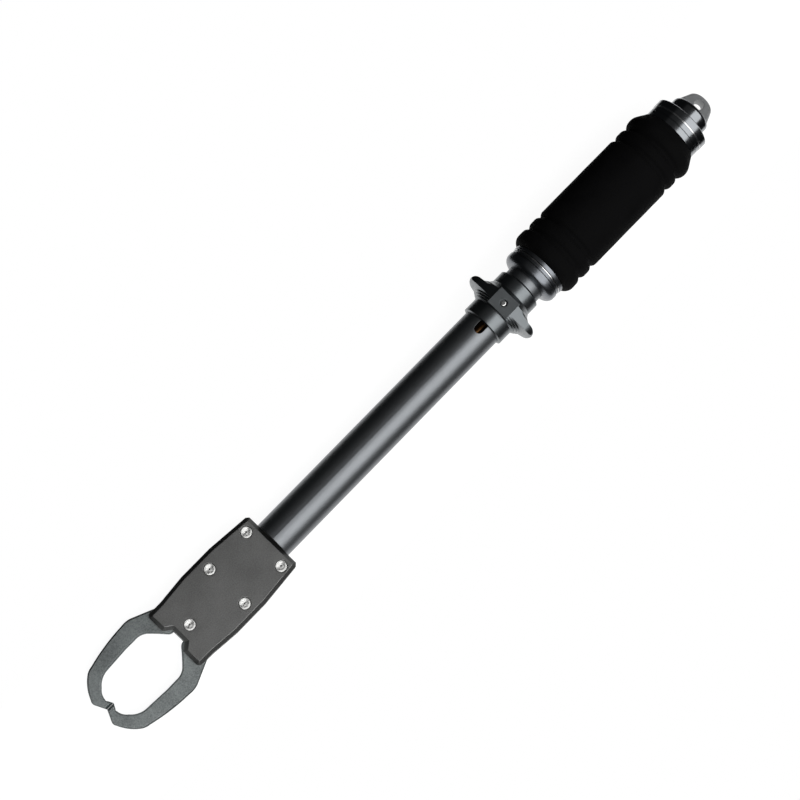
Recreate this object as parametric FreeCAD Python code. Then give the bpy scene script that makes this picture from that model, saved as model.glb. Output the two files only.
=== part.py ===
import FreeCAD, Part
import math
import os

from FreeCAD import Vector

# Locking lip gripper: two curved jaws, a flat head, a slim barrel with a sliding
# trigger collar, and a foam handle with a lanyard eye.
#
# Frame: millimetres. +X runs along the tool from the jaw tips to the lanyard end,
# +Z is square to the flat head, and the origin is the middle of the whole tool.
# The jaws are closed and the trigger is fully back, which is how the spring leaves them.

# --- driving dimensions -------------------------------------------------------

tool_end_x = 164.7
pivot_x = -119.2
running_gap = 0.05
beyond = 30.0  # how far a cutter reaches past the middle of the tool

# Head plates
plate_front_x = -127.8
plate_rear_x = -75.15
plate_inner_z = 2.45
plate_outer_z = 5.0
plate_bevel = 1.45
notch_mouth = 5.4
notch_floor = 3.2
notch_end_x = -124.9

# Rivets through the head
rivet_shank_r = 1.6
rivet_head_r = 2.1
rivet_recess_r = 2.45
rivet_recess_depth = 0.5
rivet_dish_r = 6.0
rivet_dish_depth = 0.22
mid_rivet_x = -99.45
mid_rivet_y = 9.1
rear_rivet_x = -80.1
rear_rivet_y = 9.05
stop_sleeve_r = 2.0

# Jaws
jaw_half_thickness = 2.2
jaw_layer_inner_z = 0.75
jaw_bevel = 0.55
tip_groove_depth = 1.9
tip_groove_half = 0.9
hub_r = 5.8
hub_clearance = 0.4
tail_waist = (9.5, 1.2)
tail_waist_r = 4.3
tail_end_r = 3.05

# Trigger travel and the cam slots that turn it into jaw angle
trigger_travel = 11.0
pin_radius_closed = 16.8
jaw_turn_per_mm = 0.0305
cam_slot_half = 1.2
cam_slot_parts = 8
drive_pin_r = 1.12

# Barrel
tube_r = 8.0
tube_bore_r = 6.8
tube_rear_x = 147.5
slot_half = 1.9
slot_front_x = 34.4
slot_rear_x = 51.6

# Push rod and the parts on it
rod_r = 1.75
rod_front_x = -87.6
rod_rear_x = 52.0
fork_depth = 8.0
blade_half_z = 0.5
blade_half_y = 2.8
blade_rivet_x = -82.6
blade_rivet_r = 0.7
bush_front_x = 14.0
bush_rear_x = 24.0
carrier_front_x = 43.4
carrier_rear_x = 56.0
carrier_r = 6.55
nut_thickness = 2.2
nut_corner_r = 3.6
spring_front_x = -60.0
spring_rear_x = -22.0
spring_coil_r = 4.4
spring_wire_r = 0.55
spring_turns = 11

# Trigger collar
trigger_x = 49.45
wing_centre_x = 49.9
sleeve_r = 9.2
sleeve_front_x = 39.15
sleeve_rear_x = 60.6
facet_z = 10.7
facet_half_x = 3.85
facet_half_y = 4.8
wing_tip_y = 16.1
wing_section_y = 16.4  # the wings' section, a little past their round rim
wing_end_r = 7.6
wing_half_x = 1.35
wing_dish = 0.4
cross_pin_r = 1.25
cross_pin_recess_r = 1.6

# Handle
ferrule_front_x = 63.65
ferrule_shoulder_x = 66.3
groove_front_x = 67.8
groove_rear_x = 69.3
trim_ring_x = 69.65
ferrule_r = 11.9
foam_front_x = 71.45
foam_rear_x = 144.4
foam_r = 14.3
foam_groove_places = (79.3, 85.8, 128.2, 134.4)
foam_groove_half = 1.25
foam_groove_depth = 1.15
rear_groove_x = 146.85
rear_ring_front_x = 149.0
rear_ring_rear_x = 149.5
flange_rear_x = 152.6
flange_r = 12.1
cap_rear_x = 158.4
cap_r = 8.35
spigot_r = 6.0
stud_r = 3.0
stud_front_x = 140.0
end_plug_front_x = 128.0
eye_half_z = 3.7
eye_hole_x = 161.2
eye_hole_r = 2.05


# --- small helpers ------------------------------------------------------------

def rod_along_x(radius, x_start, x_end):
    return Part.makeCylinder(radius, x_end - x_start, Vector(x_start, 0, 0), Vector(1, 0, 0))


def rod_along_z(radius, x, y, z_low, z_high):
    return Part.makeCylinder(radius, z_high - z_low, Vector(x, y, z_low))


def bore_along_z(radius, x, y):
    return rod_along_z(radius, x, y, -beyond, beyond)


def block(x_low, x_high, y_low, y_high, z_low, z_high):
    size = (x_high - x_low, y_high - y_low, z_high - z_low)
    return Part.makeBox(*size, Vector(x_low, y_low, z_low))


def outline(steps):
    """Closed wire in the XY plane.

    A pair is a corner, four numbers are an arc through the first pair to the second,
    and a list of pairs is a smooth curve through them all.
    """
    first = Vector(*steps[0], 0)
    here = first
    edges = []
    for step in steps[1:] + [steps[0]]:
        if isinstance(step, list):
            points = [here] + [Vector(x, y, 0) for x, y in step]
            curve = Part.BSplineCurve()
            curve.interpolate(points)
            edges.append(curve.toShape())
            here = points[-1]
        elif len(step) == 4:
            end = Vector(step[2], step[3], 0)
            edges.append(Part.Arc(here, Vector(step[0], step[1], 0), end).toShape())
            here = end
        else:
            end = Vector(step[0], step[1], 0)
            if end.distanceToPoint(here) > 1e-6:
                edges.append(Part.LineSegment(here, end).toShape())
            here = end
    return Part.Wire(edges)


def slab(steps, z_low, z_high):
    """Flat piece of the given outline, between two heights."""
    face = Part.Face(outline(steps))
    face.translate(Vector(0, 0, z_low))
    return face.extrude(Vector(0, 0, z_high - z_low))


def bevelled_slab(steps, z_low, z_high, bevel):
    """Flat piece whose upper and lower edges are bevelled at 45 degrees all round."""
    full = outline(steps)
    inset = full.makeOffset2D(-bevel, 2, False, False)
    layers = [slab(steps, z_low + bevel, z_high - bevel)]
    for z_face, z_side in ((z_low, z_low + bevel), (z_high, z_high - bevel)):
        side = full.copy()
        side.translate(Vector(0, 0, z_side))
        face = inset.copy()
        face.translate(Vector(0, 0, z_face))
        layers.append(Part.makeLoft([side, face], True, True))
    return layers[0].multiFuse(layers[1:]).removeSplitter()


def turned(steps):
    """Lathe-turned piece: the outline's pairs are place along the axis and radius."""
    return Part.Face(outline(steps)).revolve(Vector(0, 0, 0), Vector(1, 0, 0), 360)


def link(centre_a, radius_a, centre_b, radius_b, z_low, z_high):
    """Flat link: two discs and the straight sides that touch both."""
    away_x = centre_b[0] - centre_a[0]
    away_y = centre_b[1] - centre_a[1]
    along = math.atan2(away_y, away_x)
    lean = math.acos((radius_a - radius_b) / math.hypot(away_x, away_y))

    def on_rim(centre, radius, angle):
        return (centre[0] + radius * math.cos(angle), centre[1] + radius * math.sin(angle))

    left_a = on_rim(centre_a, radius_a, along + lean)
    left_b = on_rim(centre_b, radius_b, along + lean)
    right_a = on_rim(centre_a, radius_a, along - lean)
    right_b = on_rim(centre_b, radius_b, along - lean)
    back_a = on_rim(centre_a, radius_a, along + math.pi)
    front_b = on_rim(centre_b, radius_b, along)
    steps = [left_a, left_b, front_b + right_b, right_a, back_a + left_a]
    return slab(steps, z_low, z_high)


def half_turn_about_x(shape):
    flipped = shape.copy()
    flipped.rotate(Vector(0, 0, 0), Vector(1, 0, 0), 180)
    return flipped


def flat_edges(shape, height, x_low, x_high):
    """Edges that lie at one height, between two stations."""
    found = []
    for edge in shape.Edges:
        box = edge.BoundBox
        if abs(box.ZMin - height) < 1e-4 and abs(box.ZMax - height) < 1e-4:
            if box.XMin > x_low and box.XMax < x_high:
                found.append(edge)
    return found


# --- jaws ---------------------------------------------------------------------

def cam_point(travel, side):
    """Centre line of the cam slot in a jaw's own frame, shifted sideways by `side`."""
    step = 0.01

    def centre(at):
        radius = pin_radius_closed - at
        angle = jaw_turn_per_mm * at
        return Vector(pivot_x + radius * math.cos(angle), radius * math.sin(angle), 0)

    ahead = centre(travel + step) - centre(travel - step)
    normal = Vector(-ahead.y, ahead.x, 0).normalize()
    place = centre(travel) + normal * side
    return (place.x, place.y)


def cam_slot():
    stations = [trigger_travel * part / cam_slot_parts for part in range(cam_slot_parts + 1)]
    left = [cam_point(travel, cam_slot_half) for travel in stations]
    right = [cam_point(travel, -cam_slot_half) for travel in reversed(stations)]
    open_end = cam_point(trigger_travel + cam_slot_half, 0)
    closed_end = cam_point(-cam_slot_half, 0)
    steps = [left[0], left[1:], open_end + right[0], right[1:], closed_end + left[0]]
    return slab(steps, -jaw_half_thickness - 1, jaw_half_thickness + 1)


def jaw_bow():
    """Curved lip that closes on its twin at the tip, and its neck to the pivot."""
    steps = [
        (-162.4, running_gap),
        (-164.55, 4.6),
        (-164.65, 5.5, -164.2, 6.6),
        (-162.0, 10.5, -158.1, 14.3),
        (-156.8, 14.9, -155.2, 15.25),
        (-145.7, 17.1, -137.4, 17.8),
        (-134.9, 17.87, -132.9, 17.5),
        (-124.6, 13.95),
        (-121.2, 12.0, -118.2, 8.6),
        (-117.4, 5.3),
        (-124.6, 2.55),
        (-126.0, 2.65, -127.0, 3.3),
        (-129.7, 6.4, -132.4, 9.2),
        (-134.3, 10.25, -137.2, 10.6),
        (-142.0, 10.65),
        (-152.3, 10.1),
        (-155.7, 9.05, -158.1, 7.0),
        (-159.75, 5.0, -160.3, 3.0),
        (-160.4, 2.5, -160.1, 2.1),
        (-159.0, running_gap),
    ]
    return bevelled_slab(steps, -jaw_half_thickness, jaw_half_thickness, jaw_bevel)


def tip_groove():
    """V-shaped recess ground along the line where the tips meet."""
    reach = jaw_half_thickness + 0.01
    root = Vector(-170, 0, reach - tip_groove_depth)
    lips = [Vector(-170, side * tip_groove_half, reach) for side in (1, -1)]
    corners = [root] + lips
    edges = [Part.LineSegment(corners[i - 1], corners[i]).toShape() for i in range(3)]
    return Part.Face(Part.Wire(edges)).extrude(Vector(15, 0, 0))


def jaw_left():
    """Left jaw: a full-thickness lip and neck, and a hub and tail in the upper layer only."""
    twin_layer = (-beyond, jaw_layer_inner_z)
    bow = jaw_bow()
    bow = bow.cut(rod_along_z(hub_r + hub_clearance, pivot_x, 0, *twin_layer))
    bow = bow.cut(block(pivot_x - 0.8, pivot_x + beyond, -beyond, beyond, *twin_layer))
    waist = (pivot_x + tail_waist[0], tail_waist[1])
    tail_end = (pivot_x + pin_radius_closed, 0)
    own_layer = (jaw_layer_inner_z, jaw_half_thickness)
    tail = link((pivot_x, 0), hub_r, waist, tail_waist_r, *own_layer)
    tail = tail.fuse(link(waist, tail_waist_r, tail_end, tail_end_r, *own_layer))
    jaw = bow.fuse(tail)
    jaw = jaw.cut(tip_groove())
    jaw = jaw.cut(half_turn_about_x(tip_groove()))
    jaw = jaw.cut(cam_slot())
    jaw = jaw.cut(bore_along_z(rivet_shank_r + running_gap, pivot_x, 0))
    return jaw.removeSplitter()


# --- head ---------------------------------------------------------------------

def rivet_places():
    mid = [(mid_rivet_x, side * mid_rivet_y) for side in (1, -1)]
    rear = [(rear_rivet_x, side * rear_rivet_y) for side in (1, -1)]
    return [(pivot_x, 0)], mid, rear


def head_plate():
    """Upper head plate: a waisted plate, bevelled all round, with a notch at the jaws."""
    half = [
        (notch_end_x, notch_floor),
        (plate_front_x, notch_mouth),
        (plate_front_x, 11.9),
        (plate_front_x + 0.47, 13.03, -126.2, 13.5),
        (-120.6, 13.55),
        (-108.8, 14.62),
        (-93.8, 14.6),
        (-76.3, 13.1),
        (plate_rear_x, 12.1),
    ]
    mirrored = [
        (plate_rear_x, -12.1),
        (-76.3, -13.1),
        (-93.8, -14.6),
        (-108.8, -14.62),
        (-120.6, -13.55),
        (-126.2, -13.5),
        (plate_front_x + 0.47, -13.03, plate_front_x, -11.9),
        (plate_front_x, -notch_mouth),
        (notch_end_x, -notch_floor),
    ]
    plate = slab(half + mirrored, plate_inner_z, plate_outer_z)
    plate = plate.makeChamfer(plate_bevel, flat_edges(plate, plate_outer_z, -130, -70))
    for group in rivet_places():
        for x, y in group:
            plate = plate.cut(bore_along_z(rivet_shank_r, x, y))
            floor = plate_outer_z - rivet_recess_depth
            plate = plate.cut(rod_along_z(rivet_recess_r, x, y, floor, beyond))
    return plate


def rivet(x, y):
    """Solid rivet with a turned, dished head in the recess of each plate."""
    body = rod_along_z(rivet_shank_r, x, y, -plate_outer_z + 0.1, plate_outer_z - 0.1)
    floor = plate_outer_z - rivet_recess_depth
    head = rod_along_z(rivet_head_r, x, y, floor, plate_outer_z + 0.15)
    dish_z = plate_outer_z + 0.15 + rivet_dish_r - rivet_dish_depth
    head = head.cut(Part.makeSphere(rivet_dish_r, Vector(x, y, dish_z)))
    return body.fuse(head).fuse(half_turn_about_x(head).translate(Vector(0, 2 * y, 0)))


def rivet_group(places):
    return Part.Compound([rivet(x, y) for x, y in places])


def stop_sleeves():
    """Spacer tubes on the mid rivets: they hold the plates apart and stop the jaw tails."""
    sleeves = []
    for side in (1, -1):
        y = side * mid_rivet_y
        outer = rod_along_z(stop_sleeve_r, mid_rivet_x, y, -plate_inner_z, plate_inner_z)
        sleeves.append(outer.cut(bore_along_z(rivet_shank_r, mid_rivet_x, y)))
    return Part.Compound(sleeves)


def pivot_washer():
    """Thin washer that keeps the two jaw hubs apart, so that the blade fits between."""
    thickness = 2 * (jaw_layer_inner_z - running_gap)
    washer = rod_along_z(2.5, pivot_x, 0, -thickness / 2, thickness / 2)
    return washer.cut(bore_along_z(rivet_shank_r, pivot_x, 0))


def head_plug():
    """Insert in the barrel's mouth, with a flat tongue riveted between the head plates."""
    tongue = slab(
        [
            (-86.3, 5.0),
            (-83.5, 12.0),
            (-76.4, 12.0),
            (plate_rear_x, 11.0),
            (plate_rear_x, -11.0),
            (-76.4, -12.0),
            (-83.5, -12.0),
            (-86.3, -5.0),
        ],
        -plate_inner_z,
        plate_inner_z,
    )
    plug = tongue.fuse(rod_along_x(tube_bore_r, plate_rear_x, spring_front_x))
    for side in (1, -1):
        plug = plug.cut(bore_along_z(rivet_shank_r, rear_rivet_x, side * rear_rivet_y))
    return plug.cut(rod_along_x(rod_r + running_gap, rod_front_x, spring_rear_x))


# --- barrel -------------------------------------------------------------------

def barrel_tube():
    tube = rod_along_x(tube_r, plate_rear_x, tube_rear_x)
    tube = tube.cut(rod_along_x(tube_bore_r, plate_rear_x - beyond, tube_rear_x + beyond))
    slot_ends = (slot_front_x + slot_half, slot_rear_x - slot_half)
    slot = block(*slot_ends, -slot_half, slot_half, -beyond, beyond)
    for end_x in slot_ends:
        slot = slot.fuse(bore_along_z(slot_half, end_x, 0))
    return tube.cut(slot)


def guide_bush():
    """Brass bush fixed in the barrel, which guides the rear half of the push rod."""
    chamfer = 1.2
    return turned(
        [
            (bush_front_x, rod_r + running_gap),
            (bush_front_x, tube_bore_r - chamfer),
            (bush_front_x + chamfer, tube_bore_r),
            (bush_rear_x - chamfer, tube_bore_r),
            (bush_rear_x, tube_bore_r - chamfer),
            (bush_rear_x, rod_r + running_gap),
        ]
    )


def return_spring():
    """Compression spring between the head plug and the collar on the push rod."""
    end_gap = 0.1
    height = spring_rear_x - spring_front_x - 2 * (spring_wire_r + end_gap)
    helix = Part.makeHelix(height / spring_turns, height, spring_coil_r)
    start = helix.Vertexes[0].Point
    section = Part.Wire(Part.makeCircle(spring_wire_r, start, Vector(0, 1, 0)))
    coil = Part.Wire(helix.Edges).makePipeShell([section], True, True)
    coil.rotate(Vector(0, 0, 0), Vector(0, 1, 0), 90)
    coil.translate(Vector(spring_front_x + spring_wire_r + end_gap, 0, 0))
    return coil


# --- push rod -----------------------------------------------------------------

def push_rod():
    """Rod from the carrier to the head, forked at its front end and drilled at both."""
    rod = rod_along_x(rod_r, rod_front_x, rod_rear_x)
    fork_end_x = rod_front_x + fork_depth
    fork = block(rod_front_x - 1, fork_end_x, -beyond, beyond, -blade_half_z, blade_half_z)
    rod = rod.cut(fork)
    rod = rod.cut(bore_along_z(blade_rivet_r, blade_rivet_x, 0))
    return rod.cut(bore_along_z(cross_pin_r, trigger_x, 0))


def rod_blade():
    """Flat blade in the rod's forked end, which carries the drive pin between the jaws."""
    pin_x = pivot_x + pin_radius_closed
    shoulder_x = rod_front_x - 0.9
    shoulder_length = 1.2
    tongue_half = 1.55
    tongue_x = rod_front_x + fork_depth
    steps = [
        (pin_x, blade_half_y),
        (shoulder_x - shoulder_length, blade_half_y),
        (shoulder_x, tongue_half),
        (tongue_x, tongue_half),
        (tongue_x, -tongue_half),
        (shoulder_x, -tongue_half),
        (shoulder_x - shoulder_length, -blade_half_y),
        (pin_x, -blade_half_y),
        (pin_x - blade_half_y, 0, pin_x, blade_half_y),
    ]
    blade = slab(steps, -blade_half_z, blade_half_z)
    blade = blade.cut(bore_along_z(blade_rivet_r, blade_rivet_x, 0))
    return blade.cut(bore_along_z(drive_pin_r, pin_x, 0))


def blade_rivet():
    half_length = 1.5
    return rod_along_z(blade_rivet_r, blade_rivet_x, 0, -half_length, half_length)


def drive_pin():
    reach = jaw_half_thickness
    return rod_along_z(drive_pin_r, pivot_x + pin_radius_closed, 0, -reach, reach)


def spring_collar():
    """Shouldered collar pressed on the push rod, which the return spring pushes against."""
    return turned(
        [
            (spring_rear_x - 3.0, rod_r),
            (spring_rear_x - 3.0, 3.3),
            (spring_rear_x, 3.3),
            (spring_rear_x, 6.2),
            (spring_rear_x + 3.5, 6.2),
            (spring_rear_x + 5.0, 4.5),
            (spring_rear_x + 5.0, rod_r),
        ]
    )


def pin_carrier():
    """Brass plug that slides in the barrel and joins the push rod to the cross pin."""
    chamfer = 1.1
    body = turned(
        [
            (carrier_front_x, rod_r),
            (carrier_front_x, carrier_r - chamfer),
            (carrier_front_x + chamfer, carrier_r),
            (carrier_rear_x - chamfer, carrier_r),
            (carrier_rear_x, carrier_r - chamfer),
            (carrier_rear_x, 0),
            (rod_rear_x, 0),
            (rod_rear_x, rod_r),
        ]
    )
    return body.cut(bore_along_z(cross_pin_r, trigger_x, 0))


def lock_nut():
    """Thin hexagon nut on the push rod, tight against the pin carrier."""
    front_x = carrier_front_x - nut_thickness
    corners = []
    for corner in range(7):
        turn = math.radians(60 * corner)
        corners.append(Vector(front_x, nut_corner_r * math.cos(turn), nut_corner_r * math.sin(turn)))
    nut = Part.Face(Part.makePolygon(corners)).extrude(Vector(nut_thickness, 0, 0))
    return nut.cut(rod_along_x(rod_r, front_x - 1, carrier_front_x + 1))


# --- trigger collar -----------------------------------------------------------

def wing_outline():
    """Section across the wings: flat facets front and back, slopes, and round wing tips."""
    end_y = wing_section_y - wing_end_r
    reach = math.hypot(end_y - facet_half_y, facet_z)
    toward = math.atan2(facet_z, facet_half_y - end_y)
    touch = toward - math.acos(wing_end_r / reach)
    touch_y = end_y + wing_end_r * math.cos(touch)
    touch_z = wing_end_r * math.sin(touch)
    steps = [
        (facet_half_y, facet_z),
        (touch_y, touch_z),
        (wing_section_y, 0, touch_y, -touch_z),
        (facet_half_y, -facet_z),
        (-facet_half_y, -facet_z),
        (-touch_y, -touch_z),
        (-wing_section_y, 0, -touch_y, touch_z),
        (-facet_half_y, facet_z),
    ]
    return steps


def trigger_flange():
    """Flange turned with a round rim, ring steps towards the jaws and a hollow flare behind."""
    jaw_side = wing_centre_x - wing_half_x
    handle_side = wing_centre_x + wing_half_x
    front_x = trigger_x - facet_half_x
    rear_x = trigger_x + facet_half_x
    return turned(
        [
            (front_x - 0.4, sleeve_r),
            (front_x + 0.2, 9.8),
            (front_x + 0.8, 9.9),
            (front_x + 0.8, 10.7),
            (front_x + 1.5, 10.8),
            (front_x + 1.5, 11.6),
            (front_x + 2.2, 11.7),
            (jaw_side - wing_dish, 12.5),
            (jaw_side, wing_tip_y - wing_half_x),
            (wing_centre_x, wing_tip_y, handle_side, wing_tip_y - wing_half_x),
            (handle_side, 13.4),
            (handle_side + 0.3, 12.3, handle_side + 1.0, 11.9),
            (rear_x - 0.9, 11.7),
            (rear_x + 0.2, 10.2),
            (rear_x + 1.7, sleeve_r),
        ]
    )


def winged_prism(half_length):
    """The wings' section, drawn out along the barrel on each side of the trigger's middle."""
    section = Part.Face(outline(wing_outline()))
    section.rotate(Vector(0, 0, 0), Vector(1, 1, 1), 120)
    prism = section.extrude(Vector(2 * half_length, 0, 0))
    prism.translate(Vector(trigger_x - half_length, 0, 0))
    return prism


def facet_boss():
    """Square boss with a flat facet front and back, around the cross pin."""
    x_span = (trigger_x - facet_half_x, trigger_x + facet_half_x)
    return block(*x_span, -facet_half_y, facet_half_y, -facet_z, facet_z)


def trigger_collar():
    bore_r = tube_r + running_gap
    mouth_r = bore_r + 0.2
    sleeve = turned(
        [
            (sleeve_front_x, bore_r),
            (sleeve_front_x, mouth_r),
            (sleeve_front_x + 0.35, sleeve_r),
            (sleeve_rear_x - 0.8, sleeve_r),
            (sleeve_rear_x, mouth_r),
            (sleeve_rear_x, bore_r),
        ]
    )
    flange = trigger_flange().common(winged_prism(beyond))
    flange = flange.fuse(facet_boss()).cut(rod_along_x(bore_r, sleeve_front_x, sleeve_rear_x))
    collar = sleeve.fuse(flange)
    collar = collar.cut(bore_along_z(cross_pin_r, trigger_x, 0))
    recess_floor = facet_z - 1.4
    for low, high in ((recess_floor, beyond), (-beyond, -recess_floor)):
        collar = collar.cut(rod_along_z(cross_pin_recess_r, trigger_x, 0, low, high))
    return collar.removeSplitter()


def cross_pin():
    """Pin through the collar, the barrel's slot and the carrier, domed at both ends."""
    reach = facet_z - 0.5
    pin = rod_along_z(cross_pin_r, trigger_x, 0, -reach, reach)
    end_rims = [edge for edge in pin.Edges if abs(edge.BoundBox.ZLength) < 1e-6]
    return pin.makeFillet(0.6, end_rims)


# --- handle -------------------------------------------------------------------

def ring_along_x(outer_r, inner_r, x_start, x_end):
    return rod_along_x(outer_r, x_start, x_end).cut(rod_along_x(inner_r, x_start, x_end))


def front_ferrule():
    """Ferrule with a blunt, rounded nose and a fine groove before its rear shoulder."""
    return turned(
        [
            (ferrule_front_x, tube_r),
            (ferrule_front_x, 8.7),
            (ferrule_front_x + 0.25, 9.8),
            (ferrule_front_x + 1.05, 11.2, ferrule_shoulder_x, ferrule_r),
            (groove_front_x, ferrule_r),
            (groove_front_x + 0.2, ferrule_r - 0.7),
            (groove_front_x + 0.4, ferrule_r - 0.25),
            (groove_rear_x, ferrule_r - 0.4),
            (groove_rear_x, tube_r),
        ]
    )


def front_trim_ring():
    return ring_along_x(ferrule_r - 0.1, tube_r, groove_rear_x, trim_ring_x)


def front_seat_ring():
    """Ring that the foam butts against, bevelled towards the trim ring."""
    return turned(
        [
            (trim_ring_x, tube_r),
            (trim_ring_x, ferrule_r - 0.6),
            (trim_ring_x + 0.3, ferrule_r),
            (foam_front_x, ferrule_r),
            (foam_front_x, tube_r),
        ]
    )


def foam_grip():
    """Foam sleeve with two ring grooves near each end and rounded shoulders."""
    steps = [
        (foam_front_x, tube_r),
        (foam_front_x, 11.7),
        (foam_front_x + 0.9, 13.4, foam_front_x + 3.2, foam_r + 0.1),
    ]
    for groove_x in foam_groove_places:
        steps.append((groove_x - foam_groove_half, foam_r))
        steps.append((groove_x, foam_r - foam_groove_depth, groove_x + foam_groove_half, foam_r))
    steps += [
        (137.0, 14.8),
        (138.6, 14.9, 139.9, 14.65),
        (foam_rear_x, 12.0),
        (foam_rear_x, tube_r),
    ]
    return turned(steps)


def rear_ferrule():
    """Ferrule behind the foam, with a fine line turned in it, over the end of the barrel."""
    line_half = 0.15
    return turned(
        [
            (foam_rear_x, tube_r),
            (foam_rear_x, ferrule_r),
            (rear_groove_x - line_half, ferrule_r),
            (rear_groove_x, ferrule_r - 0.3),
            (rear_groove_x + line_half, ferrule_r),
            (rear_ring_front_x, ferrule_r),
            (rear_ring_front_x, spigot_r),
            (tube_rear_x, spigot_r),
            (tube_rear_x, tube_r),
        ]
    )


def rear_trim_ring():
    return ring_along_x(flange_r - 0.05, spigot_r, rear_ring_front_x, rear_ring_rear_x)


def rear_flange():
    chamfer = 0.3
    return turned(
        [
            (rear_ring_rear_x, spigot_r),
            (rear_ring_rear_x, flange_r),
            (flange_rear_x - chamfer, flange_r),
            (flange_rear_x, flange_r - chamfer),
            (flange_rear_x, spigot_r),
        ]
    )


def cap_collar():
    """Collar round the lanyard eye's stud, rounded down towards the eye."""
    return turned(
        [
            (flange_rear_x, stud_r),
            (flange_rear_x, cap_r),
            (cap_rear_x - 1.7, cap_r),
            (cap_rear_x - 0.7, cap_r - 0.3, cap_rear_x, cap_r - 1.0),
            (cap_rear_x, stud_r),
        ]
    )


def tube_end_plug():
    """Insert in the barrel's rear end, which takes the lanyard eye's stud."""
    plug = rod_along_x(tube_bore_r, end_plug_front_x, tube_rear_x)
    plug = plug.fuse(rod_along_x(spigot_r, tube_rear_x, flange_rear_x))
    return plug.cut(rod_along_x(stud_r, stud_front_x - 2, flange_rear_x + 1))


def lanyard_eye():
    """Eye with two milled flats and a cross hole, on a stud that holds the cap."""
    eye = turned(
        [
            (cap_rear_x, 0),
            (cap_rear_x, cap_r - 1.0),
            (tool_end_x - 1.95, 5.5),
            (tool_end_x - 0.45, 4.1, tool_end_x, 2.4),
            (tool_end_x, 0),
        ]
    )
    flats = block(cap_rear_x - 1, tool_end_x + 1, -beyond, beyond, -eye_half_z, eye_half_z)
    eye = eye.common(flats)
    eye = eye.fuse(rod_along_x(stud_r, stud_front_x, cap_rear_x))
    return eye.cut(bore_along_z(eye_hole_r, eye_hole_x, 0)).removeSplitter()


# --- the whole tool -----------------------------------------------------------

pivot_place, mid_places, rear_places = rivet_places()
upper_plate = head_plate()
left_jaw = jaw_left()

nodes = {
    "jaw_left": left_jaw,
    "jaw_right": half_turn_about_x(left_jaw),
    "head_plate_front": upper_plate,
    "head_plate_back": half_turn_about_x(upper_plate),
    "pivot_rivet": rivet_group(pivot_place),
    "mid_rivets": rivet_group(mid_places),
    "rear_rivets": rivet_group(rear_places),
    "stop_sleeves": stop_sleeves(),
    "pivot_washer": pivot_washer(),
    "head_plug": head_plug(),
    "barrel_tube": barrel_tube(),
    "guide_bush": guide_bush(),
    "return_spring": return_spring(),
    "push_rod": push_rod(),
    "rod_blade": rod_blade(),
    "blade_rivet": blade_rivet(),
    "drive_pin": drive_pin(),
    "spring_collar": spring_collar(),
    "pin_carrier": pin_carrier(),
    "lock_nut": lock_nut(),
    "trigger_collar": trigger_collar(),
    "cross_pin": cross_pin(),
    "front_ferrule": front_ferrule(),
    "front_trim_ring": front_trim_ring(),
    "front_seat_ring": front_seat_ring(),
    "foam_grip": foam_grip(),
    "rear_ferrule": rear_ferrule(),
    "rear_trim_ring": rear_trim_ring(),
    "rear_flange": rear_flange(),
    "cap_collar": cap_collar(),
    "tube_end_plug": tube_end_plug(),
    "lanyard_eye": lanyard_eye(),
}

os.makedirs("parts", exist_ok=True)
for name, shape in nodes.items():
    print(name, len(shape.Solids), round(shape.Volume, 1), shape.isValid())
    shape.exportStep("parts/" + name + ".step")
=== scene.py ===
import math

import bpy
from mathutils import Matrix, Vector, noise


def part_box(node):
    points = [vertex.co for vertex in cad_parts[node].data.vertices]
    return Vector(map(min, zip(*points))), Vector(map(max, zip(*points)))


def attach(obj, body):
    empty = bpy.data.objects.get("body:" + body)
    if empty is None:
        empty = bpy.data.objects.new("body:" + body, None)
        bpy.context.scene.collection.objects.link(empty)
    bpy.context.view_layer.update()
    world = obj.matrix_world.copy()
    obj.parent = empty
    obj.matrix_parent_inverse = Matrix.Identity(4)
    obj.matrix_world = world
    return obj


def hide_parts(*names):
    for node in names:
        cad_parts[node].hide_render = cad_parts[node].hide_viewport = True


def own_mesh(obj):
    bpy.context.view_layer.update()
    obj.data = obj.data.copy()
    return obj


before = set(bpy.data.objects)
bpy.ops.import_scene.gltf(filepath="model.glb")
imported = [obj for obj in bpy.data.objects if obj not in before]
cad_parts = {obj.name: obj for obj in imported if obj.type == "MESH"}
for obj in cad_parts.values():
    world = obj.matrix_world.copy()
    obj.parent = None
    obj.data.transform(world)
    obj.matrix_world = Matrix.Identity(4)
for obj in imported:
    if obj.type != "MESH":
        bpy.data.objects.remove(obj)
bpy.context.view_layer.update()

MM = 0.001

# --- camera -------------------------------------------------------------------

SENSOR_MM = 36.0
LENS_MM = 121.5
AXIS_ANGLE = math.radians(45.58)
CAMERA_TILT = math.radians(9.5)
CAMERA_LEAN = math.radians(2.5)
CAMERA_DISTANCE = 1.0217
CAMERA_TARGET = Vector((-0.0031, 0.0028, 0.0))


def add_camera():
    """Long lens above the tool, leaning towards the jaws, with the barrel rising to the right."""
    back = Vector((-math.tan(CAMERA_TILT), -math.tan(CAMERA_LEAN), 1.0)).normalized()
    along = (Vector((1, 0, 0)) - back * back.x).normalized()
    across = back.cross(along)
    right = along * math.cos(AXIS_ANGLE) - across * math.sin(AXIS_ANGLE)
    up = along * math.sin(AXIS_ANGLE) + across * math.cos(AXIS_ANGLE)
    data = bpy.data.cameras.new("camera")
    data.sensor_width = SENSOR_MM
    data.lens = LENS_MM
    camera = bpy.data.objects.new("camera", data)
    bpy.context.scene.collection.objects.link(camera)
    turn = Matrix((right, up, back)).transposed().to_4x4()
    camera.matrix_world = Matrix.Translation(CAMERA_TARGET + back * CAMERA_DISTANCE) @ turn
    bpy.context.scene.camera = camera


# --- node helpers ---------------------------------------------------------------

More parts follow.
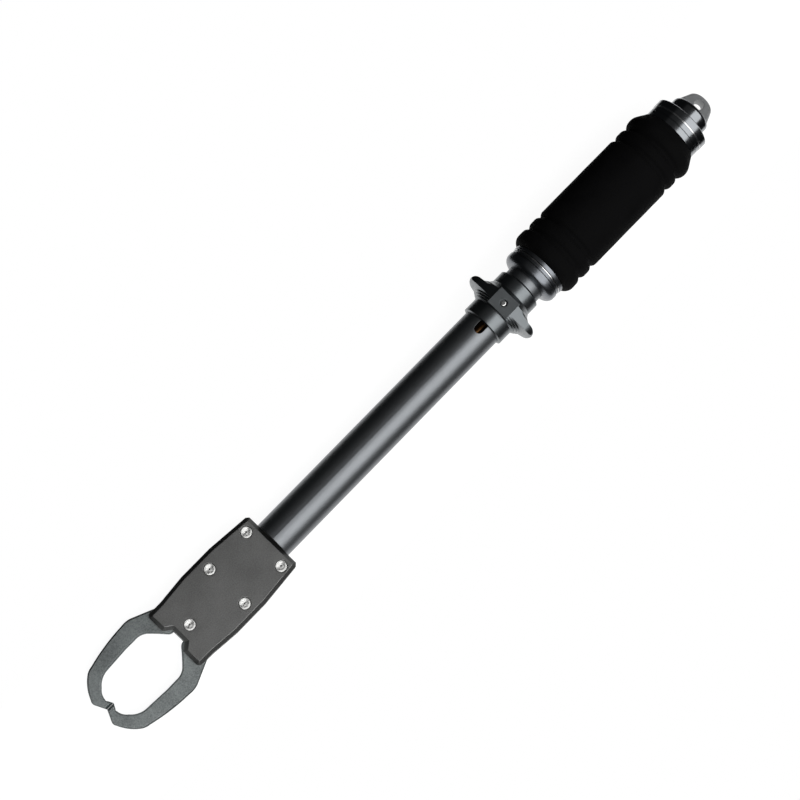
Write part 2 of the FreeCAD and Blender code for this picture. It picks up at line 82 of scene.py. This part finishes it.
def shader_node(tree, kind, settings=None, inputs=None):
    """One node. An input is a plain value, or another node's output socket."""
    made = tree.nodes.new(kind)
    for key, value in (settings or {}).items():
        setattr(made, key, value)
    for key, value in (inputs or {}).items():
        if isinstance(value, bpy.types.NodeSocket):
            tree.links.new(value, made.inputs[key])
        else:
            made.inputs[key].default_value = value
    return made


def rgba(colour):
    return (*colour, 1.0)


def blank_material(name):
    material = bpy.data.materials.new(name)
    material.use_nodes = True
    tree = material.node_tree
    return material, tree, tree.nodes["Principled BSDF"]


def place(tree, scale=(1, 1, 1)):
    """The surface's own place in metres, stretched for a grain that runs one way."""
    coordinate = shader_node(tree, "ShaderNodeTexCoord")
    inputs = {"Vector": coordinate.outputs["Object"], "Scale": scale}
    return shader_node(tree, "ShaderNodeMapping", inputs=inputs).outputs["Vector"]


def noise_value(tree, vector, per_metre, detail=2.0, roughness=0.5):
    inputs = {"Vector": vector, "Scale": per_metre, "Detail": detail, "Roughness": roughness}
    return shader_node(tree, "ShaderNodeTexNoise", inputs=inputs).outputs["Fac"]


def remap(tree, value, low, high, to_low, to_high):
    settings = {"clamp": True}
    inputs = {"Value": value, "From Min": low, "From Max": high, "To Min": to_low, "To Max": to_high}
    return shader_node(tree, "ShaderNodeMapRange", settings, inputs).outputs["Result"]


def maths(tree, operation, first, second=None):
    made = shader_node(tree, "ShaderNodeMath", {"operation": operation}, {0: first})
    if second is not None:
        if isinstance(second, bpy.types.NodeSocket):
            tree.links.new(second, made.inputs[1])
        else:
            made.inputs[1].default_value = second
    return made.outputs["Value"]


def weighted_sum(tree, first, second, first_share):
    first_part = maths(tree, "MULTIPLY", first, first_share)
    second_part = maths(tree, "MULTIPLY", second, 1 - first_share)
    return maths(tree, "ADD", first_part, second_part)


def mix_colours(tree, share, first, second):
    inputs = {"Factor": share, 6: first, 7: second}
    return shader_node(tree, "ShaderNodeMix", {"data_type": "RGBA"}, inputs).outputs[2]


def bump(tree, height, distance, normal=None):
    inputs = {"Height": height, "Distance": distance, "Strength": 1.0}
    if normal is not None:
        inputs["Normal"] = normal
    return shader_node(tree, "ShaderNodeBump", inputs=inputs).outputs["Normal"]


BEVEL_SAMPLES = 6
OPEN_FACE_COSINE = 0.995
SHARP_EDGE_COSINE = 0.86


def rounded_normal(tree, radius):
    """Normal that rounds the sharp edges of a machined piece over a fraction of a millimetre."""
    settings = {"samples": BEVEL_SAMPLES}
    return shader_node(tree, "ShaderNodeBevel", settings, {"Radius": radius}).outputs["Normal"]


def edge_share(tree, soft_normal):
    """From 0 on open faces to 1 on sharp edges."""
    geometry = shader_node(tree, "ShaderNodeNewGeometry")
    inputs = {0: soft_normal, 1: geometry.outputs["Normal"]}
    cosine = shader_node(tree, "ShaderNodeVectorMath", {"operation": "DOT_PRODUCT"}, inputs)
    return remap(tree, cosine.outputs["Value"], OPEN_FACE_COSINE, SHARP_EDGE_COSINE, 0.0, 1.0)


# --- materials ------------------------------------------------------------------

# A noise scale is in features per metre. A span is the part of a noise's range that is used.
NOISE_SPAN = (0.3, 0.7)
TONE_SPAN = (0.35, 0.65)
SCUFF_SPAN = (0.4, 0.65)
FOAM_TONE_SPAN = (0.36, 0.64)

# How far the tool lines are stretched along x, y and z.
EVEN = (1, 1, 1)
DRAWN = (0.04, 1, 1)
TURNED = (1, 0.03, 0.03)
PATCH_SCALE = 90.0
SCUFF_SCALE = 700.0
GRAIN_SHARE = 0.6
LEAST_WEAR = 0.3
BARE_TONE = 0.75
BARE_SHARE = 0.6
ROUGHNESS_SPREAD = 0.15


def metal(name, tint, roughness, grain_mm=0.25, grain_depth=0.004, lines=EVEN, line_mm=0.08,
          line_depth=0.0, contrast=0.10, wear=0.35, edge_mm=0.15):
    """Machined and anodised or blasted metal: patchy tone, fine grain, tool lines and worn edges."""
    material, tree, principled = blank_material(name)
    here = place(tree)
    patches = noise_value(tree, here, PATCH_SCALE, detail=3.0)
    grain = noise_value(tree, here, 1000.0 / grain_mm, detail=2.0, roughness=0.6)
    tool_lines = noise_value(tree, place(tree, lines), 1000.0 / line_mm, detail=3.0, roughness=0.65)
    soft = rounded_normal(tree, edge_mm * MM)

    tone = weighted_sum(tree, grain, patches, GRAIN_SHARE)
    dark = rgba([channel * (1 - contrast) for channel in tint])
    light = rgba([min(1.0, channel * (1 + contrast)) for channel in tint])
    body = mix_colours(tree, remap(tree, tone, *TONE_SPAN, 0.0, 1.0), dark, light)
    bare = rgba([channel + (BARE_TONE - channel) * BARE_SHARE for channel in tint])
    scuffs = noise_value(tree, here, SCUFF_SCALE, detail=4.0)
    uneven = remap(tree, scuffs, *SCUFF_SPAN, LEAST_WEAR, 1.0)
    worn = maths(tree, "MULTIPLY", maths(tree, "MULTIPLY", edge_share(tree, soft), uneven), wear)
    tree.links.new(mix_colours(tree, worn, body, bare), principled.inputs["Base Color"])

    smooth = roughness * (1 - ROUGHNESS_SPREAD)
    rough = roughness * (1 + ROUGHNESS_SPREAD)
    tree.links.new(remap(tree, tool_lines, *NOISE_SPAN, smooth, rough), principled.inputs["Roughness"])
    principled.inputs["Metallic"].default_value = 1.0

    surface = bump(tree, grain, grain_depth * MM, soft)
    if line_depth:
        surface = bump(tree, tool_lines, line_depth * MM, surface)
    tree.links.new(surface, principled.inputs["Normal"])
    return material


RIVET_RING = 0.30 * MM
RIVET_RING_DEPTH = 0.018 * MM
RIVET_PAINTED_DOT_INNER = 0.30 * MM
RIVET_PAINTED_DOT_OUTER = 0.5 * MM
RIVET_PIT_SCALE = 2600.0
RIVET_PIT_DEPTH = 0.006 * MM
RIVET_EDGE = 0.12 * MM


def rivet_metal(name, centre_x, centre_y):
    """Bright rivet face with the rings that the forming tool leaves about the rivet's axis, and a painted
    dark reflection at its centre.
    """
    material, tree, principled = blank_material(name)
    split = shader_node(tree, "ShaderNodeSeparateXYZ", inputs={"Vector": place(tree)})
    from_x = maths(tree, "SUBTRACT", split.outputs["X"], centre_x)
    from_y = maths(tree, "SUBTRACT", maths(tree, "ABSOLUTE", split.outputs["Y"]), centre_y)
    square_x = maths(tree, "MULTIPLY", from_x, from_x)
    square_y = maths(tree, "MULTIPLY", from_y, from_y)
    radius = maths(tree, "SQRT", maths(tree, "ADD", square_x, square_y))
    rings = maths(tree, "SINE", maths(tree, "MULTIPLY", radius, 2 * math.pi / RIVET_RING))
    pits = noise_value(tree, place(tree), RIVET_PIT_SCALE, detail=3.0)
    # Painted reflection: a dark spot is put into the colour at the rivet's centre, not made by the face's
    # shape.
    painted_reflection_dot = remap(tree, radius, RIVET_PAINTED_DOT_INNER, RIVET_PAINTED_DOT_OUTER, 1.0, 0.0)
    tone = remap(tree, pits, *NOISE_SPAN, 0.0, 1.0)
    steel = mix_colours(tree, tone, rgba((0.66, 0.66, 0.65)), rgba((0.80, 0.80, 0.78)))
    face = mix_colours(tree, painted_reflection_dot, steel, rgba((0.10, 0.10, 0.10)))
    tree.links.new(face, principled.inputs["Base Color"])
    principled.inputs["Metallic"].default_value = 1.0
    tree.links.new(remap(tree, pits, *NOISE_SPAN, 0.26, 0.34), principled.inputs["Roughness"])
    surface = bump(tree, rings, RIVET_RING_DEPTH, rounded_normal(tree, RIVET_EDGE))
    tree.links.new(bump(tree, pits, RIVET_PIT_DEPTH, surface), principled.inputs["Normal"])
    return material


FOAM_CLOUD_SCALE = 130.0
FOAM_CELL_SCALE = 1900.0
FOAM_PORE_SCALE = 3800.0
FOAM_CLOUD_SHARE = 0.65
FOAM_CELL_DEPTH = 0.035 * MM
FOAM_PORE_DEPTH = 0.02 * MM


def foam_rubber():
    """Near-black closed-cell foam: fine cells, a faint cloudiness and a dull, dusty skin."""
    material, tree, principled = blank_material("grip_foam")
    here = place(tree)
    clouds = noise_value(tree, here, FOAM_CLOUD_SCALE, detail=4.0, roughness=0.6)
    inputs = {"Vector": here, "Scale": FOAM_CELL_SCALE}
    cells = shader_node(tree, "ShaderNodeTexVoronoi", {"feature": "F1"}, inputs)
    pores = noise_value(tree, here, FOAM_PORE_SCALE, detail=2.0)
    cell_height = remap(tree, cells.outputs["Distance"], 0.0, 0.7, 0.0, 1.0)
    tone = weighted_sum(tree, clouds, pores, FOAM_CLOUD_SHARE)
    share = remap(tree, tone, *FOAM_TONE_SPAN, 0.0, 1.0)
    body = mix_colours(tree, share, rgba((0.0014, 0.0014, 0.0015)), rgba((0.0034, 0.0034, 0.0036)))
    tree.links.new(body, principled.inputs["Base Color"])
    tree.links.new(remap(tree, clouds, *NOISE_SPAN, 0.78, 0.95), principled.inputs["Roughness"])
    principled.inputs["Specular IOR Level"].default_value = 0.07
    principled.inputs["Sheen Weight"].default_value = 0.004
    principled.inputs["Sheen Roughness"].default_value = 0.6
    surface = bump(tree, cell_height, FOAM_CELL_DEPTH)
    tree.links.new(bump(tree, pores, FOAM_PORE_DEPTH, surface), principled.inputs["Normal"])
    return material


def floor_white():
    """Plain white table that is also lit from within, as a light table is."""
    material, tree, principled = blank_material("table")
    shade = noise_value(tree, place(tree), 3.0)
    body = mix_colours(tree, shade, rgba((0.14, 0.14, 0.14)), rgba((0.16, 0.16, 0.16)))
    tree.links.new(body, principled.inputs["Base Color"])
    principled.inputs["Roughness"].default_value = 0.9
    principled.inputs["Specular IOR Level"].default_value = 0.1
    principled.inputs["Emission Color"].default_value = (1.0, 1.0, 1.0, 1.0)
    principled.inputs["Emission Strength"].default_value = 0.95
    return material


def use(node, material):
    """Gives a carried-over CAD piece its material."""
    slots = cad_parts[node].data.materials
    slots.clear()
    slots.append(material)


def rivet_centre(node):
    """Where the outermost rivet of a group stands, from its box."""
    low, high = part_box(node)
    radius = (high.x - low.x) / 2
    return (low.x + high.x) / 2, max(0.0, high.y - radius)


def finish_cad_pieces():
    """Gives every CAD piece its material, and returns those that the new meshes share."""
    jaw = metal("jaw_steel", (0.30, 0.325, 0.325), 0.36, grain_mm=0.50, grain_depth=0.014,
                contrast=0.30, wear=0.25, edge_mm=0.12)
    head = metal("head_metal", (0.172, 0.173, 0.170), 0.42, grain_mm=0.45, grain_depth=0.008,
                 contrast=0.20, wear=0.45, edge_mm=0.28)
    tube = metal("barrel_tube_metal", (0.205, 0.215, 0.225), 0.42, grain_mm=0.16, grain_depth=0.002,
                 lines=DRAWN, line_mm=0.10, line_depth=0.0012, contrast=0.06, wear=0.4, edge_mm=0.12)
    collar = metal("trigger_metal", (0.160, 0.172, 0.178), 0.33, grain_mm=0.14, grain_depth=0.002,
                   lines=TURNED, line_mm=0.12, line_depth=0.002, contrast=0.06, wear=0.5, edge_mm=0.12)
    ferrule = metal("ferrule_metal", (0.175, 0.185, 0.200), 0.30, grain_mm=0.14, grain_depth=0.0015,
                    lines=TURNED, line_mm=0.11, line_depth=0.002, contrast=0.05, wear=0.5, edge_mm=0.10)
    bright = metal("bright_trim", (0.62, 0.62, 0.62), 0.20, grain_mm=0.12, grain_depth=0.0008,
                   lines=TURNED, contrast=0.03, wear=0.0, edge_mm=0.06)
    black = metal("black_metal", (0.215, 0.225, 0.235), 0.20, grain_mm=0.12, grain_depth=0.0008,
                  lines=TURNED, line_mm=0.14, line_depth=0.001, contrast=0.05, wear=0.30, edge_mm=0.10)
    eye = metal("eye_metal", (0.250, 0.255, 0.260), 0.46, grain_mm=0.22, grain_depth=0.006,
                contrast=0.10, wear=0.45, edge_mm=0.14)
    brass = metal("inner_brass", (0.26, 0.125, 0.045), 0.34, lines=TURNED, line_mm=0.15,
                  line_depth=0.003, contrast=0.10, wear=0.2)
    pin = metal("pin_steel", (0.72, 0.72, 0.71), 0.20, grain_mm=0.10, grain_depth=0.002,
                contrast=0.06, wear=0.0, edge_mm=0.05)
    foam = foam_rubber()
    chosen = {
        jaw: ("jaw_left", "jaw_right"),
        head: ("head_plate_front", "head_plate_back", "head_plug"),
        tube: ("barrel_tube",),
        collar: ("trigger_collar",),
        ferrule: ("front_ferrule", "front_seat_ring"),
        bright: ("front_trim_ring", "rear_trim_ring"),
        black: ("rear_ferrule", "rear_flange", "cap_collar"),
        eye: ("lanyard_eye", "tube_end_plug"),
        brass: ("guide_bush", "pin_carrier", "spring_collar", "push_rod"),
        pin: ("cross_pin", "drive_pin", "blade_rivet", "rod_blade", "lock_nut", "pivot_washer",
              "stop_sleeves", "return_spring"),
        foam: ("foam_grip",),
    }
    for material, nodes in chosen.items():
        for node in nodes:
            use(node, material)
    for node in ("pivot_rivet", "mid_rivets", "rear_rivets"):
        use(node, rivet_metal(node + "_steel", *rivet_centre(node)))
    return pin, foam


# --- pieces made here -------------------------------------------------------------

def mesh_object(name, points, faces, material):
    mesh = bpy.data.meshes.new(name)
    mesh.from_pydata(points, [], faces)
    mesh.validate()
    mesh.shade_smooth()
    mesh.materials.append(material)
    piece = bpy.data.objects.new(name, mesh)
    bpy.context.scene.collection.objects.link(piece)
    return piece


def rings_to_faces(rings, around, closed):
    """Quads between neighbouring rings of points; closed joins the last ring to the first."""
    faces = []
    for ring in range(rings if closed else rings - 1):
        here = ring * around
        ahead = (ring + 1) % rings * around
        for i in range(around):
            j = (i + 1) % around
            faces.append((here + i, here + j, ahead + j, ahead + i))
    return faces


def outer_profile(node):
    """(x, radius) pairs along the outside of a turned CAD piece."""
    rings = {}
    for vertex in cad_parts[node].data.vertices:
        station = round(vertex.co.x, 6)
        rings[station] = max(rings.get(station, 0.0), math.hypot(vertex.co.y, vertex.co.z))
    return sorted(rings.items())


def radius_at(profile, x):
    if x <= profile[0][0]:
        return profile[0][1]
    for (x_a, r_a), (x_b, r_b) in zip(profile, profile[1:]):
        if x <= x_b:
            return r_a + (r_b - r_a) * (x - x_a) / (x_b - x_a)
    return profile[-1][1]


FOAM_STATION = 0.30 * MM
FOAM_AROUND = 180
FOAM_SOFTNESS = 0.28 * MM
FOAM_SMOOTH_STEPS = 4
FOAM_SMOOTH_WIDTH = 2.4
FOAM_DENT_HEIGHT = 0.065 * MM
FOAM_FINE_HEIGHT = 0.0225 * MM
FOAM_SKIN_FULL_DEPTH = 2.5 * MM
FOAM_LIFT = 0.02 * MM
FOAM_BORE_GAP = 0.02 * MM
FOAM_BORE_RIM = 1.6 * MM
FOAM_END_DROP = 1.2 * MM
FOAM_LIP = 0.45 * MM


def soft_radius(profile, x):
    """The profile's radius, smoothed over a fraction of a millimetre as moulded foam is."""
    total = 0.0
    weight = 0.0
    for step in range(-FOAM_SMOOTH_STEPS, FOAM_SMOOTH_STEPS + 1):
        share = math.exp(-(step / FOAM_SMOOTH_WIDTH) ** 2)
        total += share * radius_at(profile, x + step * FOAM_SOFTNESS)
        weight += share
    return total / weight


def skin_noise(x, angle, along, around):
    """Noise on a round sleeve, with its own scale along the barrel and around it."""
    return noise.noise(Vector((x * along, math.cos(angle) * around, math.sin(angle) * around)))


def foam_skin(x, angle):
    """Slow dents and fine unevenness of the foam's surface, in metres."""
    dents = skin_noise(x, angle, along=260, around=3.4)
    fine = skin_noise(x, angle, along=1500, around=21)
    return FOAM_DENT_HEIGHT * dents + FOAM_FINE_HEIGHT * fine


def foam_sleeve(material):
    """Foam grip: the turned sleeve with soft lobes and grooves, and a slightly uneven skin."""
    profile = outer_profile("foam_grip")
    low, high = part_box("foam_grip")
    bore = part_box("barrel_tube")[1].z + FOAM_BORE_GAP
    count = round((high.x - low.x) / FOAM_STATION)
    outline = [(low.x, bore), (low.x, bore + FOAM_BORE_RIM)]
    front_r = radius_at(profile, low.x)
    outline += [(low.x + 0.02 * MM, front_r - FOAM_END_DROP), (low.x + 0.08 * MM, front_r - FOAM_LIP)]
    for index in range(1, count):
        x = low.x + (high.x - low.x) * index / count
        outline.append((x, soft_radius(profile, x) + FOAM_LIFT))
    rear_r = radius_at(profile, high.x)
    outline += [(high.x - 0.05 * MM, rear_r - FOAM_LIP), (high.x, rear_r - FOAM_END_DROP), (high.x, bore)]
    points = []
    for x, radius in outline:
        for i in range(FOAM_AROUND):
            angle = 2 * math.pi * i / FOAM_AROUND
            outside = min(1.0, (radius - bore) / FOAM_SKIN_FULL_DEPTH)
            r = radius + foam_skin(x, angle) * outside
            points.append((x, r * math.cos(angle), r * math.sin(angle)))
    faces = rings_to_faces(len(outline), FOAM_AROUND, True)
    sleeve = mesh_object("foam_sleeve", points, faces, material)
    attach(sleeve, "frame")
    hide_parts("foam_grip")


SPRING_TURNS = 11
SPRING_WIRE_R = 0.55 * MM
CLOSED_PITCH = 2.15 * SPRING_WIRE_R
TURN_STEPS = 40
WIRE_STEPS = 10


def spring_coil(material):
    """Return spring: open coils between two closed end turns."""
    low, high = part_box("return_spring")
    coil_r = high.z - SPRING_WIRE_R
    start = low.x + SPRING_WIRE_R
    length = high.x - low.x - 2 * SPRING_WIRE_R
    open_pitch = (length - 2 * CLOSED_PITCH) / (SPRING_TURNS - 2)
    points = []
    rings = SPRING_TURNS * TURN_STEPS + 1
    for step in range(rings):
        turn = step / TURN_STEPS
        end_part = min(turn, 1.0) + max(0.0, turn - (SPRING_TURNS - 1))
        x = start + CLOSED_PITCH * end_part + open_pitch * (turn - end_part)
        angle = 2 * math.pi * turn
        outward = Vector((0, math.cos(angle), math.sin(angle)))
        for i in range(WIRE_STEPS):
            around = 2 * math.pi * i / WIRE_STEPS
            offset = outward * math.cos(around) + Vector((1, 0, 0)) * math.sin(around)
            points.append(Vector((x, 0, 0)) + outward * coil_r + offset * SPRING_WIRE_R)
    faces = rings_to_faces(rings, WIRE_STEPS, False)
    faces.append(tuple(range(WIRE_STEPS)))
    faces.append(tuple(reversed(range((rings - 1) * WIRE_STEPS, rings * WIRE_STEPS))))
    coil = mesh_object("spring_coil", points, faces, material)
    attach(coil, "frame")
    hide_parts("return_spring")
    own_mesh(coil)


# --- table and light ----------------------------------------------------------------

TABLE_LEFT_Y = 0.028
TABLE_RIGHT_Y = -0.036
TABLE_END_X = 0.24
ROOM_COLOUR = (0.9, 0.95, 1.0, 1.0)
ROOM_STRENGTH = 0.012


def add_table():
    """Narrow white bench that the barrel's front end and the foam's front lobe rest on."""
    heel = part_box("barrel_tube")[0]
    drops = []
    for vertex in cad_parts["foam_grip"].data.vertices:
        drops.append((heel.z - vertex.co.z) / (vertex.co.x - heel.x))
    slope = max(drops)
    corners = []
    for x, y in ((-TABLE_END_X, TABLE_RIGHT_Y), (TABLE_END_X, TABLE_RIGHT_Y),
                 (TABLE_END_X, TABLE_LEFT_Y), (-TABLE_END_X, TABLE_LEFT_Y)):
        corners.append((x, y, heel.z - slope * (x - heel.x)))
    table = mesh_object("table", corners, [(0, 1, 2, 3)], floor_white())


def add_softbox(name, angle_deg, width, length, distance, brightness):
    """Panel that faces the barrel and runs along it, at an angle from overhead towards -Y."""
    angle = math.radians(angle_deg)
    data = bpy.data.lights.new(name, "AREA")
    data.shape = "RECTANGLE"
    data.size = length
    data.size_y = width
    data.energy = brightness * math.pi * width * length
    light = bpy.data.objects.new(name, data)
    bpy.context.scene.collection.objects.link(light)
    along = Vector((1, 0, 0))
    back = Vector((0, -math.sin(angle), math.cos(angle)))
    turn = Matrix((along, back.cross(along), back)).transposed().to_4x4()
    light.matrix_world = Matrix.Translation(back * distance) @ turn


def add_world():
    """Dim room for reflections, pale where the camera sees past the table."""
    world = bpy.data.worlds.new("studio")
    bpy.context.scene.world = world
    world.use_nodes = True
    tree = world.node_tree
    room = tree.nodes["Background"]
    room.inputs["Color"].default_value = ROOM_COLOUR
    room.inputs["Strength"].default_value = ROOM_STRENGTH
    pale = shader_node(tree, "ShaderNodeBackground", inputs={"Color": (1, 1, 1, 1), "Strength": 1.0})
    seen = shader_node(tree, "ShaderNodeLightPath").outputs["Is Camera Ray"]
    inputs = {"Fac": seen, 1: room.outputs["Background"], 2: pale.outputs["Background"]}
    mixed = shader_node(tree, "ShaderNodeMixShader", inputs=inputs)
    tree.links.new(mixed.outputs["Shader"], tree.nodes["World Output"].inputs["Surface"])


add_camera()
add_world()
add_table()
add_softbox("key_softbox", angle_deg=34.5, width=0.83, length=2.2, distance=0.85, brightness=2.4)
add_softbox("top_panel", angle_deg=-3, width=0.36, length=2.2, distance=1.2, brightness=0.07)
add_softbox("fill_panel", angle_deg=-29, width=0.70, length=2.2, distance=1.2, brightness=0.04)
bright_steel, black_foam = finish_cad_pieces()
foam_sleeve(black_foam)
spring_coil(bright_steel)

bpy.context.scene.view_settings.view_transform = "Standard"
